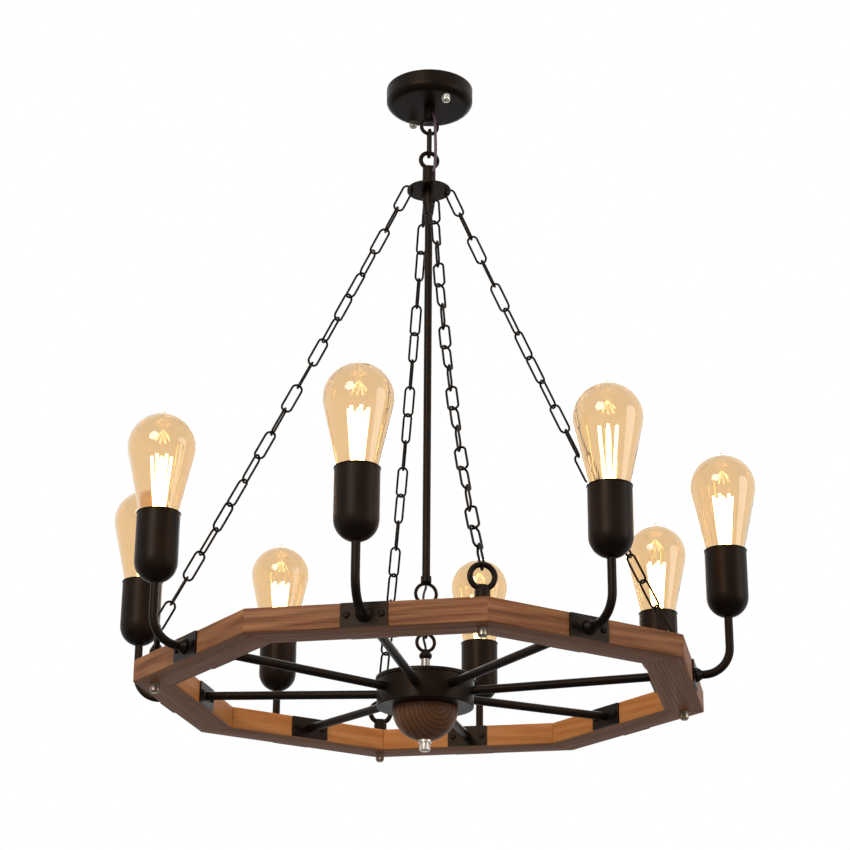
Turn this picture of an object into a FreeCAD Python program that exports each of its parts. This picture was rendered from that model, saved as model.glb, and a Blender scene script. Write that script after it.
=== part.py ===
"""Wagon wheel chandelier: an eight-sided wooden ring hung from a ceiling canopy by one long link,
a down rod and four chains, with eight upright bulb holders on bent arms around it.

Millimetres, +Z up. The origin is the centre of the canopy's rim, on the ceiling, so the whole
light hangs below z = 0. The front chain is on -Y, the right one on +X.
"""

import FreeCAD, Part

import math
import os

Vector = FreeCAD.Vector

# ---------------------------------------------------------------- driving dimensions

# ring
sides = 8
ring_across_corners = 560.0
beam_width = 38.0
beam_height = 22.0
beam_edge_round = 1.2
beam_wire_hole = 7.0

# canopy and ceiling bracket
canopy_diameter = 92.0
canopy_height = 21.0
canopy_wall = 1.2
canopy_corner_round = 8.0
bracket_thickness = 2.0
bracket_strap_width = 18.0
box_screw_spacing = 69.85
box_slot_width = 4.6
box_slot_length = 11.0
stud_spacing = 68.0
stud_diameter = 4.0
stud_line_angle = -70.0
canopy_nut_diameter = 9.0
canopy_nut_height = 8.0

# loops and links between the ceiling and the wheel
canopy_stem_diameter = 9.8
canopy_stem_above_floor = 8.5
canopy_neck_diameter = 12.0
canopy_neck_length = 14.0
canopy_loop_outside = 21.0
canopy_loop_wire = 4.0
loop_nut_across_flats = 17.0
loop_nut_height = 5.5
hang_link_inside = 27.6
hang_link_width = 13.5
hang_link_wire = 3.5
top_eye_outside = 22.4
top_eye_wire = 4.6
neck_diameter = 13.8
neck_length = 25.9
neck_bore = 8.4
rod_loop_outside = 24.0
hub_loop_outside = 20.8
small_loop_wire = 3.4
small_loop_root = 0.5
lower_link_inside = 33.9
lower_link_width = 12.6
lower_link_wire = 3.2

# disc, coupler and rod
disc_diameter = 46.0
disc_thickness = 2.0
chain_hole_diameter = 4.8
chain_hole_edge = 1.9
coupler_top_diameter = 14.0
coupler_bottom_diameter = 9.4
coupler_length = 27.0
rod_diameter = 8.0
rod_bore = 6.0
rod_below_disc = 423.5
rod_into_neck = 7.0
rod_into_collar = 4.0
collar_diameter = 10.6
collar_height = 6.0

# hub
hub_bead_diameter = 12.6
hub_bead_height = 6.9
nipple_diameter = 8.5
nipple_bore = 5.5
nipple_showing = 18.0
hub_diameter = 94.0
hub_height = 30.0
hub_wall = 1.5
cover_overhang = 1.2
cover_thickness = 1.5
cover_skirt = 3.5
bowl_diameter = 63.0
bowl_height = 31.5
finial_flange_diameter = 13.7
finial_flange_height = 2.6
finial_diameter = 10.6
finial_height = 11.0
ring_above_hub_middle = 6.0

# spokes, plates and lamp arms
spoke_diameter = 8.4
spoke_bore = 6.0
plate_length = 42.0
plate_height = 21.4
plate_thickness = 1.6
plate_hole_spacing = 31.0
screw_diameter = 3.0
screw_length = 15.0
screw_head_diameter = 6.0
screw_head_height = 2.0
arm_diameter = 8.0
arm_bore = 6.0
arm_reach = 34.3
arm_bend_radius = 25.0
arm_boss_diameter = 14.0
arm_boss_length = 6.0
arm_into_cup = 6.0
lead_diameter = 2.4
lead_clear_of_end = 0.4

# lamp cup and holder
cup_above_ring = 54.4
cup_diameter = 40.0
cup_height = 66.4
cup_wall = 1.2
cup_rim_bead = 0.6
holder_wall = 3.2
holder_height = 46.6
holder_floor = 9.0
holder_tip_diameter = 8.0
socket_depth = 26.0
socket_bore = 27.8

# bulb
contact_diameter = 9.6
contact_height = 1.8
cap_insulator_height = 1.6
cap_height = 24.0
cap_diameter = 26.0
cap_wall = 0.45
thread_pitch = 3.629
thread_depth = 0.7
thread_turns = 5
glass_diameter = 64.0
glass_wall = 0.8
glass_neck_diameter = 23.0
glass_neck_in_cap = 6.0
glass_throat_diameter = 32.4
glass_throat_above_cap = 8.0
glass_centre_above_cap = 81.0
glass_tip_height = 4.0
glass_tip_diameter = 4.4
stem_diameter = 4.4
filament_count = 6
filament_diameter = 1.7
filament_foot_height = 22.0
filament_top_height = 72.0
filament_foot_radius = 4.6
filament_top_radius = 9.0

# eye bolts
eye_outside = 27.0
eye_wire = 5.2
eye_collar_diameter = 13.7
eye_collar_height = 10.0
eye_shank_diameter = 5.0
eye_nut_diameter = 10.0
eye_nut_height = 9.0

# chains
chain_link_target = 28.5
chain_link_width = 12.5
chain_wire = 2.3
chain_names = ["front", "right", "back", "left"]
chain_angles = [-90.0, 0.0, 90.0, 180.0]
chain_sags = [30.0, 3.0, 12.0, 3.0]
chain_twists = [60.0, 81.0, 60.0, 81.0]

# supply cord
cord_diameter = 3.2
cord_side_angle = -56.0
cord_hole_diameter = 4.4

# clearances
link_play = 0.15
chain_play = 0.1
thread_play = 0.05
hole_play = 0.3

# ---------------------------------------------------------------- derived positions

half_turn_between_sides = 180.0 / sides
corner_radius = ring_across_corners / 2
outer_flat = corner_radius * math.cos(math.radians(half_turn_between_sides))
inner_flat = outer_flat - beam_width
beam_angles = [-90.0 - half_turn_between_sides + 360.0 / sides * k for k in range(sides)]
bolt_radius = (outer_flat + inner_flat) / 2 / math.cos(math.radians(half_turn_between_sides))

canopy_floor = -canopy_height + canopy_wall
canopy_neck_bottom = -canopy_height - canopy_neck_length
canopy_loop_centre = canopy_neck_bottom - canopy_loop_outside / 2 + canopy_loop_wire / 2
canopy_loop_low_wire = canopy_loop_centre - canopy_loop_outside / 2 + canopy_loop_wire / 2

hang_link_top = canopy_loop_low_wire + canopy_loop_wire / 2 + link_play
hang_link_bottom = hang_link_top - hang_link_inside
hang_link_low_wire = hang_link_bottom - hang_link_wire / 2
top_eye_high_wire = hang_link_bottom + link_play + top_eye_wire / 2
top_eye_centre = top_eye_high_wire - top_eye_outside / 2 + top_eye_wire / 2

neck_top = top_eye_centre - top_eye_outside / 2 + top_eye_wire / 2
disc_top = neck_top - neck_length
disc_bottom = disc_top - disc_thickness
disc_edge_radius = disc_diameter / 2
chain_hole_radius = disc_edge_radius - chain_hole_edge - chain_hole_diameter / 2
rod_top = disc_top + rod_into_neck
coupler_bottom = disc_bottom - coupler_length
collar_top = disc_bottom - rod_below_disc
collar_bottom = collar_top - collar_height
rod_bottom = collar_top - rod_into_collar

rod_loop_centre = collar_bottom - rod_loop_outside / 2 + small_loop_root
rod_loop_low_wire = rod_loop_centre - rod_loop_outside / 2 + small_loop_wire / 2
lower_link_top = rod_loop_low_wire + small_loop_wire / 2 + link_play
lower_link_bottom = lower_link_top - lower_link_inside
hub_loop_high_wire = lower_link_bottom + link_play + small_loop_wire / 2
hub_loop_centre = hub_loop_high_wire - hub_loop_outside / 2 + small_loop_wire / 2
bead_top = hub_loop_centre - hub_loop_outside / 2 + small_loop_root
bead_bottom = bead_top - hub_bead_height
hub_top = bead_bottom - nipple_showing
hub_bottom = hub_top - hub_height
hub_middle = (hub_top + hub_bottom) / 2
bowl_bottom = hub_bottom - bowl_height
ring_middle = hub_middle + ring_above_hub_middle
ring_top = ring_middle + beam_height / 2
ring_bottom = ring_middle - beam_height / 2

plate_outer_face = outer_flat + plate_thickness
plate_inner_face = inner_flat - plate_thickness
lamp_radius = outer_flat + arm_reach
cup_bottom = ring_middle + cup_above_ring
cup_top = cup_bottom + cup_height
holder_bottom = cup_bottom + cup_wall + hole_play
arm_top = cup_bottom + arm_into_cup
socket_floor = holder_bottom + holder_height - socket_depth
contact_bottom = socket_floor + thread_play
cap_bottom = contact_bottom + contact_height + thread_play + cap_insulator_height
cap_top = cap_bottom + cap_height
glass_centre = cap_top + glass_centre_above_cap

eye_collar_top = ring_top + eye_collar_height
eye_centre = eye_collar_top + eye_outside / 2
eye_high_wire = eye_centre + eye_outside / 2 - eye_wire / 2

# ---------------------------------------------------------------- helpers


def turned(outline):
    """A solid of revolution about Z from a closed list of (radius, height) points."""
    points = [Vector(r, 0, z) for r, z in outline]
    face = Part.Face(Part.makePolygon(points + points[:1]))
    return face.revolve(Vector(0, 0, 0), Vector(0, 0, 1), 360)


def turned_edges(edges):
    """A solid of revolution about Z from the edges of a closed outline in the XZ plane."""
    face = Part.Face(Part.Wire(Part.__sortEdges__(edges)))
    return face.revolve(Vector(0, 0, 0), Vector(0, 0, 1), 360)


def line(start, end):
    return Part.LineSegment(Vector(start[0], 0, start[1]), Vector(end[0], 0, end[1])).toShape()


def arc(start, middle, end):
    ends = [Vector(p[0], 0, p[1]) for p in (start, middle, end)]
    return Part.Arc(*ends).toShape()


def on_circle(radius, centre_z, angle):
    """The (radius, height) point at an angle from the horizontal on a circle centred on the axis."""
    a = math.radians(angle)
    return (radius * math.cos(a), centre_z + radius * math.sin(a))


def tube(outer, inner, bottom, top):
    body = Part.makeCylinder(outer / 2, top - bottom, Vector(0, 0, bottom))
    return body.cut(Part.makeCylinder(inner / 2, top - bottom, Vector(0, 0, bottom)))


def placed(shape, angle, radius=0.0, height=0.0):
    """A copy moved out along X and up, then turned about Z."""
    copy = shape.copy()
    copy.translate(Vector(radius, 0, height))
    copy.rotate(Vector(0, 0, 0), Vector(0, 0, 1), angle)
    return copy


def pointing_out(shape):
    """A copy whose +Z side points along +X."""
    copy = shape.copy()
    copy.rotate(Vector(0, 0, 0), Vector(0, 1, 0), 90)
    return copy


def upright_ring(outside, wire, centre_z):
    """A round loop of wire standing in the XZ plane."""
    radius = (outside - wire) / 2
    return Part.makeTorus(radius, wire / 2, Vector(0, 0, centre_z), Vector(0, 1, 0))


def tangent_arc(before, corner, after, share=0.45):
    """The ends and radius of the arc that rounds a corner, using a share of its shorter run."""
    back = (before - corner).normalize()
    ahead = (after - corner).normalize()
    run = min((before - corner).Length, (after - corner).Length) * share
    turn = math.pi - back.getAngle(ahead)
    return corner + back * run, corner + ahead * run, run / math.tan(turn / 2)


def swept(points, diameter, radii=None, label=None):
    """A round rod along straight runs joined by tangent arcs; radii None makes each arc as large as
    its runs allow."""
    points = [Vector(*p) for p in points]
    edges = []
    start = points[0]
    drawn = []
    for k in range(1, len(points) - 1):
        before, corner, after = points[k - 1], points[k], points[k + 1]
        first, last, radius = tangent_arc(before, corner, after)
        if radii is not None:
            turn = math.pi - (before - corner).getAngle(after - corner)
            reach = radii * math.tan(turn / 2)
            first = corner + (before - corner).normalize() * reach
            last = corner + (after - corner).normalize() * reach
            radius = radii
        inward = ((first + last) * 0.5 - corner).normalize()
        centre_gap = math.hypot(radius, (first - corner).Length)
        middle = corner + inward * (centre_gap - radius)
        edges.append(Part.LineSegment(start, first).toShape())
        edges.append(Part.Arc(first, middle, last).toShape())
        drawn.append(radius)
        start = last
    edges.append(Part.LineSegment(start, points[-1]).toShape())
    path = Part.Wire(edges)
    along = (points[1] - points[0]).normalize()
    section = Part.Wire(Part.Circle(points[0], along, diameter / 2).toShape())
    rod = path.makePipeShell([section], True, False)
    if label:
        expected = math.pi * diameter ** 2 / 4 * path.Length
        print(label, "length %.1f" % path.Length, "volume share %.4f" % (rod.Volume / expected),
              "radii", ["%.1f" % r for r in drawn])
    return rod


def chain_like_link(inside, width, wire):
    """A straight-sided link standing along Z in the XZ plane, its centre at the origin."""
    bow = (width - wire) / 2
    leg = (inside + wire) / 2 - bow
    top = Part.makeTorus(bow, wire / 2, Vector(0, 0, 0), Vector(0, 1, 0))
    keep_top = Part.makeBox(2 * width, 2 * width, width, Vector(-width, -width, 0))
    half = top.common(keep_top)
    half.translate(Vector(0, 0, leg))
    other = half.copy()
    other.rotate(Vector(0, 0, 0), Vector(0, 1, 0), 180)
    solid = half.fuse(other)
    for side in (-bow, bow):
        solid = solid.fuse(Part.makeCylinder(wire / 2, 2 * leg, Vector(side, 0, -leg)))
    return solid.removeSplitter()


def save(name, shape):
    shape.exportStep("parts/%s.step" % name)
    return shape


def save_group(name, shapes):
    return save(name, Part.Compound(shapes))


# ---------------------------------------------------------------- ceiling end


def stud_points():
    return [(stud_line_angle + 180.0 * k, stud_spacing / 2) for k in range(2)]


def ceiling_bracket():
    """A pressed cross: one strap slotted for the ceiling box, one tapped for the canopy studs."""
    reach = canopy_diameter / 2 - canopy_wall - hole_play
    height = bracket_thickness
    strap = Part.makeBox(2 * reach, bracket_strap_width, height,
                         Vector(-reach, -bracket_strap_width / 2, -height))
    cross = strap.fuse(placed(strap, stud_line_angle)).removeSplitter()
    cross = cross.common(Part.makeCylinder(reach, height, Vector(0, 0, -height)))
    straight = box_slot_length - box_slot_width
    for side in (-1, 1):
        middle = side * box_screw_spacing / 2
        slot = Part.makeBox(straight, box_slot_width, height,
                            Vector(middle - straight / 2, -box_slot_width / 2, -height))
        for end in (-straight / 2, straight / 2):
            slot = slot.fuse(Part.makeCylinder(box_slot_width / 2, height,
                                               Vector(middle + end, 0, -height)))
        cross = cross.cut(slot)
    for angle, radius in stud_points():
        hole = Part.makeCylinder(stud_diameter / 2 + thread_play, height, Vector(0, 0, -height))
        cross = cross.cut(placed(hole, angle, radius))
    return cross


def canopy():
    """A shallow dish with a rounded lower corner, open to the ceiling."""
    outer = canopy_diameter / 2
    inner = outer - canopy_wall
    bend = canopy_corner_round
    inner_bend = bend - canopy_wall
    low = -canopy_height
    diagonal = math.cos(math.radians(45))
    hub = canopy_stem_diameter / 2 + hole_play
    edges = [
        line((inner, 0), (outer, 0)),
        line((outer, 0), (outer, low + bend)),
        arc((outer, low + bend),
            (outer - bend + bend * diagonal, low + bend - bend * diagonal),
            (outer - bend, low)),
        line((outer - bend, low), (hub, low)),
        line((hub, low), (hub, canopy_floor)),
        line((hub, canopy_floor), (outer - bend, canopy_floor)),
        arc((outer - bend, canopy_floor),
            (outer - bend + inner_bend * diagonal, low + bend - inner_bend * diagonal),
            (inner, low + bend)),
        line((inner, low + bend), (inner, 0)),
    ]
    dish = turned_edges(edges)
    for angle, radius in stud_points():
        hole = Part.makeCylinder(stud_diameter / 2 + hole_play, canopy_height, Vector(0, 0, low))
        dish = dish.cut(placed(hole, angle, radius))
    return dish


def canopy_studs():
    length = canopy_height + canopy_nut_height - 2.0
    stud = Part.makeCylinder(stud_diameter / 2, length, Vector(0, 0, -length))
    return [placed(stud, angle, radius) for angle, radius in stud_points()]


def knurled(diameter, height, bottom, count=18, depth=0.35):
    """A domed round nut with straight grooves around it."""
    radius = diameter / 2
    nut = Part.makeCylinder(radius, height, Vector(0, 0, bottom))
    nut = nut.makeFillet(height * 0.3, [e for e in nut.Edges if abs(e.BoundBox.ZMax - bottom) < 1e-6])
    groove = Part.makeCylinder(depth, height, Vector(radius, 0, bottom))
    grooves = [placed(groove, 360.0 * k / count) for k in range(count)]
    return nut.cut(Part.Compound(grooves))


def canopy_nuts():
    bottom = -canopy_height - canopy_nut_height
    nut = knurled(canopy_nut_diameter, canopy_nut_height, bottom)
    bore = Part.makeCylinder(stud_diameter / 2 + thread_play, canopy_nut_height - 1.8,
                             Vector(0, 0, bottom + 1.8))
    nut = nut.cut(bore)
    return [placed(nut, angle, radius) for angle, radius in stud_points()]


def canopy_loop():
    """The loop under the canopy: a threaded stem and a round neck that the cord runs through, and
    a ring of wire."""
    stem_top = canopy_floor + canopy_stem_above_floor
    overlap = canopy_loop_wire / 2
    stem = Part.makeCylinder(canopy_stem_diameter / 2, stem_top + canopy_height,
                             Vector(0, 0, -canopy_height))
    neck = Part.makeCylinder(canopy_neck_diameter / 2, canopy_neck_length,
                             Vector(0, 0, canopy_neck_bottom))
    root = Part.makeCone(canopy_loop_wire * 0.7, canopy_neck_diameter / 2, overlap * 1.5,
                         Vector(0, 0, canopy_neck_bottom - overlap * 1.5))
    loop = stem.fuse(neck).fuse(root).fuse(
        upright_ring(canopy_loop_outside, canopy_loop_wire, canopy_loop_centre))
    return loop.cut(swept(upper_cord_route(), cord_hole_diameter))


def loop_nut():
    flats = loop_nut_across_flats
    corner = flats / 2 / math.cos(math.radians(30))
    points = [Vector(corner * math.cos(math.radians(60 * k)), corner * math.sin(math.radians(60 * k)),
                     canopy_floor) for k in range(6)]
    nut = Part.Face(Part.makePolygon(points + points[:1])).extrude(Vector(0, 0, loop_nut_height))
    return nut.cut(Part.makeCylinder(canopy_stem_diameter / 2 + thread_play, loop_nut_height,
                                     Vector(0, 0, canopy_floor)))


def wire_connectors():
    """Two twist-on connectors standing on the canopy floor, each with its conductor."""
    stem_top = canopy_floor + canopy_stem_above_floor
    conductor = 1.8
    start = conductor / 2 + thread_play
    bend = 6.0
    mouth = stem_top + 0.9
    across = start + 2 * bend
    cone = Part.makeCone(3.0, 4.6, mouth - canopy_floor, Vector(0, 0, canopy_floor))
    path = [(start, 0, stem_top), (start, 0, mouth)]
    rise = Part.LineSegment(Vector(*path[0]), Vector(*path[1])).toShape()
    over = Part.Arc(Vector(start, 0, mouth), Vector(start + bend, 0, mouth + bend),
                    Vector(across, 0, mouth)).toShape()
    section = Part.Wire(Part.Circle(Vector(start, 0, stem_top), Vector(0, 0, 1),
                                    conductor / 2).toShape())
    wire = Part.Wire([rise, over]).makePipeShell([section], True, False)
    pieces = []
    for angle in (stud_line_angle + 35.0, stud_line_angle + 215.0):
        pieces.append(placed(cone, angle, across))
        pieces.append(placed(wire, angle))
    return pieces


# ---------------------------------------------------------------- hanging link and supply cord


def standing_link(inside, width, wire, top):
    """A link in the YZ plane whose upper bow rests on a wire just below this height."""
    link = chain_like_link(inside, width, wire)
    link.rotate(Vector(0, 0, 0), Vector(0, 0, 1), 90)
    link.translate(Vector(0, 0, top - inside / 2))
    return link


def canopy_cord_turn():
    """Where the cord leaves the axis of the canopy loop, to come out of the middle of its neck."""
    return canopy_neck_bottom + canopy_neck_length / 2 + canopy_neck_diameter / 2 - 1.5


def neck_cord_turn():
    """Where the cord joins the axis inside the neck under the top eye."""
    return neck_top - neck_diameter / 2 - 5.0


def out_from_axis(radius, height):
    a = math.radians(cord_side_angle)
    return (radius * math.cos(a), radius * math.sin(a), height)


def cord_meeting():
    """Where the cord's two lengths meet, beside the middle of the link, and the way it runs there."""
    middle = (hang_link_top + hang_link_bottom) / 2
    return Vector(5.6, -6.1, middle), Vector(0.4, 0.2, -13.0).normalize()


def upper_cord_route():
    """From the top of the canopy loop's stem, out of its neck's side and down beside the link."""
    meeting, down = cord_meeting()
    turn = canopy_cord_turn()
    return [
        (0, 0, canopy_floor + canopy_stem_above_floor),
        (0, 0, turn),
        out_from_axis(7.8, turn - 7.8),
        tuple(meeting - down * 11.5),
        tuple(meeting),
    ]


def lower_cord_route():
    """From the meeting, past the eye and in through the side of its neck, into the rod."""
    meeting, down = cord_meeting()
    turn = neck_cord_turn()
    return [
        tuple(meeting),
        tuple(meeting + down * 10.0),
        (5.2, -6.6, turn + 17.5),
        out_from_axis(8.1, turn + 8.1),
        (0, 0, turn),
        (0, 0, turn - 9.0),
    ]


def supply_cord():
    return (swept(upper_cord_route(), cord_diameter, label="supply cord upper"),
            swept(lower_cord_route(), cord_diameter, label="supply cord lower"))


def top_eye():
    """The eye that hangs on the link, with a hollow neck that takes the cord and the rod's end."""
    neck = Part.makeCylinder(neck_diameter / 2, neck_length, Vector(0, 0, disc_top))
    eye = neck.fuse(upright_ring(top_eye_outside, top_eye_wire, top_eye_centre))
    bore_top = neck_cord_turn() + 1.0
    bore = Part.makeCylinder(neck_bore / 2, bore_top - disc_top, Vector(0, 0, disc_top))
    return eye.cut(bore).cut(swept(lower_cord_route(), cord_hole_diameter))


def top_disc():
    """The thin disc that the four chains hook into, near its edge."""
    disc = Part.makeCylinder(disc_edge_radius, disc_thickness, Vector(0, 0, disc_bottom))
    disc = disc.cut(Part.makeCylinder(rod_diameter / 2 + thread_play, disc_thickness,
                                      Vector(0, 0, disc_bottom)))
    hole = Part.makeCylinder(chain_hole_diameter / 2, disc_thickness, Vector(0, 0, disc_bottom))
    for angle in chain_angles:
        disc = disc.cut(placed(hole, angle, chain_hole_radius))
    return disc


def rod_coupler():
    cone = Part.makeCone(coupler_bottom_diameter / 2, coupler_top_diameter / 2,
                         coupler_length * 0.62, Vector(0, 0, coupler_bottom))
    head = Part.makeCylinder(coupler_top_diameter / 2, coupler_length * 0.38,
                             Vector(0, 0, coupler_bottom + coupler_length * 0.62))
    body = cone.fuse(head).removeSplitter()
    return body.cut(Part.makeCylinder(rod_diameter / 2 + thread_play, coupler_length,
                                      Vector(0, 0, coupler_bottom)))


def down_rod():
    return tube(rod_diameter, rod_bore, rod_bottom, rod_top)


def rod_loop():
    """The ring screwed on the rod's lower end, with a collar that the lead passes through."""
    collar = Part.makeCylinder(collar_diameter / 2, collar_height, Vector(0, 0, collar_bottom))
    waist = Part.makeCone(small_loop_wire * 0.8, collar_diameter / 2, small_loop_wire * 0.6,
                          Vector(0, 0, collar_bottom - small_loop_wire * 0.6))
    loop = collar.fuse(waist).fuse(upright_ring(rod_loop_outside, small_loop_wire, rod_loop_centre))
    seat = Part.makeCylinder(rod_diameter / 2 + thread_play, rod_into_collar,
                             Vector(0, 0, collar_top - rod_into_collar))
    passage = Part.makeCylinder(lead_diameter / 2 + hole_play, collar_height + small_loop_wire,
                                Vector(0, 0, collar_bottom - small_loop_wire))
    return loop.cut(seat).cut(passage)


def hub_loop():
    """The ring above the hub, with a round bead screwed on the nipple."""
    middle = (bead_top + bead_bottom) / 2
    half = hub_bead_height / 2
    bulge = hub_bead_diameter / 2
    shoulder = bulge * 0.62
    edges = [
        line((0, bead_bottom), (shoulder, bead_bottom)),
        arc((shoulder, bead_bottom), (bulge, middle), (shoulder, bead_top)),
        line((shoulder, bead_top), (0, bead_top)),
        line((0, bead_top), (0, bead_bottom)),
    ]
    bead = turned_edges(edges)
    root = Part.makeCone(shoulder, small_loop_wire * 0.8, small_loop_wire * 0.8,
                         Vector(0, 0, bead_top))
    loop = bead.fuse(root).fuse(upright_ring(hub_loop_outside, small_loop_wire, hub_loop_centre))
    seat = Part.makeCylinder(nipple_diameter / 2 + thread_play, half, Vector(0, 0, bead_bottom))
    passage = Part.makeCylinder(lead_diameter / 2 + hole_play, hub_bead_height + small_loop_wire,
                                Vector(0, 0, bead_bottom))
    return loop.cut(seat).cut(passage)


# ---------------------------------------------------------------- hub


def hub_nipple():
    top = bead_bottom + hub_bead_height / 2
    return tube(nipple_diameter, nipple_bore, bowl_bottom - finial_height * 0.5, top)


def spoke_line():
    """The lower, inner end and the upper, outer end of a spoke's centre line, as (radius, height)."""
    return (hub_diameter / 2 - hub_wall - 4.0, hub_middle), (plate_inner_face, ring_middle)


def spoke_rod(diameter, extra_in=0.0, extra_out=0.0):
    """A round rod on a spoke's centre line along +X, lengthened at either end."""
    (r0, z0), (r1, z1) = spoke_line()
    start, end = Vector(r0, 0, z0), Vector(r1, 0, z1)
    along = (end - start).normalize()
    start = start - along * extra_in
    return Part.makeCylinder(diameter / 2, (end - start).Length + extra_out, start, along)


def hub_drum():
    """The black drum: side wall and floor in one, open at the top under its cover."""
    outer = hub_diameter / 2
    floor = hub_bottom + hub_wall
    hole = nipple_diameter / 2 + thread_play
    drum = turned([(hole, hub_bottom), (outer, hub_bottom), (outer, hub_top - cover_thickness),
                   (outer - hub_wall, hub_top - cover_thickness), (outer - hub_wall, floor),
                   (hole, floor)])
    bottom_edges = [e for e in drum.Edges
                    if abs(e.BoundBox.ZMax - hub_bottom) < 1e-6 and e.BoundBox.XLength > outer]
    drum = drum.makeFillet(hub_wall * 0.8, bottom_edges)
    opening = spoke_rod(spoke_diameter + 2 * thread_play)
    for angle in beam_angles:
        drum = drum.cut(placed(opening, angle))
    return drum


def hub_cover():
    """The lid, turned down over the drum in a short skirt with a rolled edge."""
    outer = hub_diameter / 2 + cover_overhang
    inner = hub_diameter / 2 + thread_play
    hole = nipple_diameter / 2 + thread_play
    under = hub_top - cover_thickness
    skirt = hub_top - cover_skirt
    roll = cover_thickness * 0.8
    diagonal = roll * (1 - math.cos(math.radians(45)))
    edges = [
        line((hole, under), (inner, under)),
        line((inner, under), (inner, skirt)),
        line((inner, skirt), (outer, skirt)),
        line((outer, skirt), (outer, hub_top - roll)),
        arc((outer, hub_top - roll), (outer - diagonal, hub_top - diagonal),
            (outer - roll, hub_top)),
        line((outer - roll, hub_top), (hole, hub_top)),
        line((hole, hub_top), (hole, under)),
    ]
    return turned_edges(edges)


def wood_bowl():
    """The turned wooden bowl under the drum."""
    outer = bowl_diameter / 2
    foot = finial_flange_diameter / 2
    hole = nipple_diameter / 2 + thread_play
    lip = 2.0
    deep = bowl_height - lip
    sweep = math.degrees(math.acos(foot / outer))

    def on_bowl(angle):
        a = math.radians(angle)
        depth = deep * math.sin(a) / math.sin(math.radians(sweep))
        return (outer * math.cos(a), hub_bottom - lip - depth)

    side = Part.BSplineCurve()
    side.interpolate([Vector(*(on_bowl(sweep * k / 6)[0], 0, on_bowl(sweep * k / 6)[1]))
                      for k in range(7)])
    edges = [
        line((hole, hub_bottom), (outer - 0.6, hub_bottom)),
        line((outer - 0.6, hub_bottom), (outer, hub_bottom - lip)),
        side.toShape(),
        line(on_bowl(sweep), (hole, bowl_bottom)),
        line((hole, bowl_bottom), (hole, hub_bottom)),
    ]
    return turned_edges(edges)


def finial_nut():
    flange = Part.makeCylinder(finial_flange_diameter / 2, finial_flange_height,
                               Vector(0, 0, bowl_bottom - finial_flange_height))
    body = knurled(finial_diameter, finial_height - finial_flange_height,
                   bowl_bottom - finial_height)
    nut = flange.fuse(body).removeSplitter()
    bore = Part.makeCylinder(nipple_diameter / 2 + thread_play, finial_height * 0.5 + thread_play,
                             Vector(0, 0, bowl_bottom - finial_height * 0.5 - thread_play))
    return nut.cut(bore)


def spoke():
    """A hollow spoke from inside the drum's wall to the inner plate."""
    body = spoke_rod(spoke_diameter, extra_out=spoke_diameter)
    body = body.cut(spoke_rod(spoke_bore, extra_in=1.0, extra_out=spoke_diameter + 1.0))
    beyond = Part.makeBox(2 * spoke_diameter, 4 * spoke_diameter, 4 * spoke_diameter,
                          Vector(plate_inner_face, -2 * spoke_diameter,
                                 ring_middle - 2 * spoke_diameter))
    return body.cut(beyond)


# ---------------------------------------------------------------- wooden ring and its plates


def screw_offsets():
    return (-plate_hole_spacing / 2, plate_hole_spacing / 2)


def ring_segment():
    """One beam of the ring, mitred at both ends, lying across +X."""
    half = math.tan(math.radians(half_turn_between_sides))
    corners = [Vector(inner_flat, -inner_flat * half, ring_bottom),
               Vector(outer_flat, -outer_flat * half, ring_bottom),
               Vector(outer_flat, outer_flat * half, ring_bottom),
               Vector(inner_flat, inner_flat * half, ring_bottom)]
    beam = Part.Face(Part.makePolygon(corners + corners[:1])).extrude(Vector(0, 0, beam_height))
    long_edges = [e for e in beam.Edges if e.BoundBox.XLength < 1e-6 and e.BoundBox.YLength > 1.0]
    beam = beam.makeFillet(beam_edge_round, long_edges)
    wire_way = pointing_out(Part.makeCylinder(beam_wire_hole / 2, beam_width))
    beam = beam.cut(placed(wire_way, 0, inner_flat, ring_middle))
    pilot = Part.makeCylinder(screw_diameter / 2 + thread_play, screw_length - plate_thickness)
    for offset in screw_offsets():
        outer_pilot = pointing_out(pilot)
        outer_pilot.translate(Vector(outer_flat - screw_length + plate_thickness, offset,
                                     ring_middle))
        inner_pilot = pointing_out(pilot)
        inner_pilot.translate(Vector(inner_flat, offset, ring_middle))
        beam = beam.cut(outer_pilot).cut(inner_pilot)
    return beam


def ring_segments():
    """Eight beams; the corners under the chains are drilled for the eye bolts."""
    drill = Part.makeCylinder(eye_shank_diameter / 2 + thread_play, beam_height,
                              Vector(0, 0, ring_bottom))
    drills = Part.Compound([placed(drill, angle, bolt_radius) for angle in chain_angles])
    beam = ring_segment()
    return [placed(beam, angle).cut(drills) for angle in beam_angles]


def beam_plate(face_radius):
    """A plate standing on a beam's face across +X, with two screw holes and a wire hole."""
    plate = Part.makeBox(plate_thickness, plate_length, plate_height,
                         Vector(face_radius, -plate_length / 2, ring_middle - plate_height / 2))
    sharp = [e for e in plate.Edges if e.BoundBox.XLength > plate_thickness / 2]
    plate = plate.makeFillet(1.0, sharp)
    wire_way = pointing_out(Part.makeCylinder(arm_bore / 2, plate_thickness))
    plate = plate.cut(placed(wire_way, 0, face_radius, ring_middle))
    clear = pointing_out(Part.makeCylinder(screw_diameter / 2 + hole_play / 2, plate_thickness))
    for offset in screw_offsets():
        hole = clear.copy()
        hole.translate(Vector(face_radius, offset, ring_middle))
        plate = plate.cut(hole)
    return plate


def beam_plates():
    outer = beam_plate(outer_flat)
    inner = beam_plate(plate_inner_face)
    return [placed(plate, angle) for angle in beam_angles for plate in (outer, inner)]


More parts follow.
